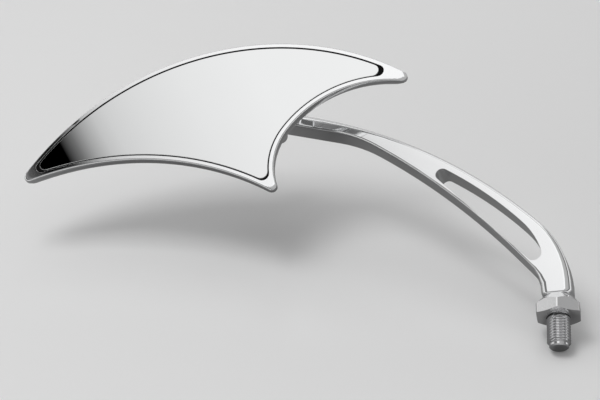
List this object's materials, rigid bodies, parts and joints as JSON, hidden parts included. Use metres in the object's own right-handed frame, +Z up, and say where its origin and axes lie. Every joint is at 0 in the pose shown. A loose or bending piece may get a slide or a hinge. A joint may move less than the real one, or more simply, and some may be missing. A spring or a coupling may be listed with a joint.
{
  "type": "motorcycle mirror",
  "caption": "Motorcycle mirror with a three-arc machined head on a ball joint, a turning post and a curved slotted stem that screws in by a threaded stud with a lock nut.",
  "frame": {"origin": "on the stud's axis, at the end of the free thread just below the lock nut", "axes": "+Z up along the stud, -X towards the head's post along the stem's plane, -Y the way the glass faces"},
  "size_m": [0.25, 0.056, 0.1542],
  "materials": {
    "polished_head": "chrome-plated, polished",
    "polished_stem": "chrome-plated, polished",
    "mirror_glass": "silvered flat glass",
    "dark_seal": "dull",
    "steel": "bright zinc",
    "nut_steel": "satin",
    "plastic": "smooth"
  },
  "bodies": {
    "root": {"stem": "polished_stem", "mount_stud": "steel", "post_bush": "plastic"},
    "post": {"ball_stud": "steel", "post_sleeve": "polished_head", "wave_washer": "steel", "plain_washer": "steel", "dome_nut": "polished_head"},
    "liner": {"liner_front": "plastic", "liner_rear": "plastic"},
    "head": {"head_shell": "polished_head", "mirror_glass": "mirror_glass", "glass_pad": "dark_seal", "glass_seal": "dark_seal", "socket_housing": "polished_head", "housing_screws": "steel", "disc_spring": "steel", "pressure_ring": "steel"},
    "nut": {"lock_nut": "nut_steel"}
  },
  "joints": [
    {"name": "post_turn", "type": "hinge", "parent": "root", "child": "post", "pos_m": [-0.135, 0, 0.117], "axis": [0, 1, 0], "continuous": true},
    {"name": "head_yaw", "type": "hinge", "parent": "post", "child": "liner", "pos_m": [-0.135, -0.0188, 0.117], "axis": [0, 0, 1], "range_deg": [-20, 8]},
    {"name": "head_pitch", "type": "hinge", "parent": "liner", "child": "head", "pos_m": [-0.135, -0.0188, 0.117], "axis": [0.9945, 0.1045, 0], "range_deg": [-16.6, 11.4]},
    {"name": "nut_turn", "type": "hinge", "parent": "root", "child": "nut", "pos_m": [0, 0, 0.0046], "axis": [0, 0, 1], "continuous": true}
  ]
}
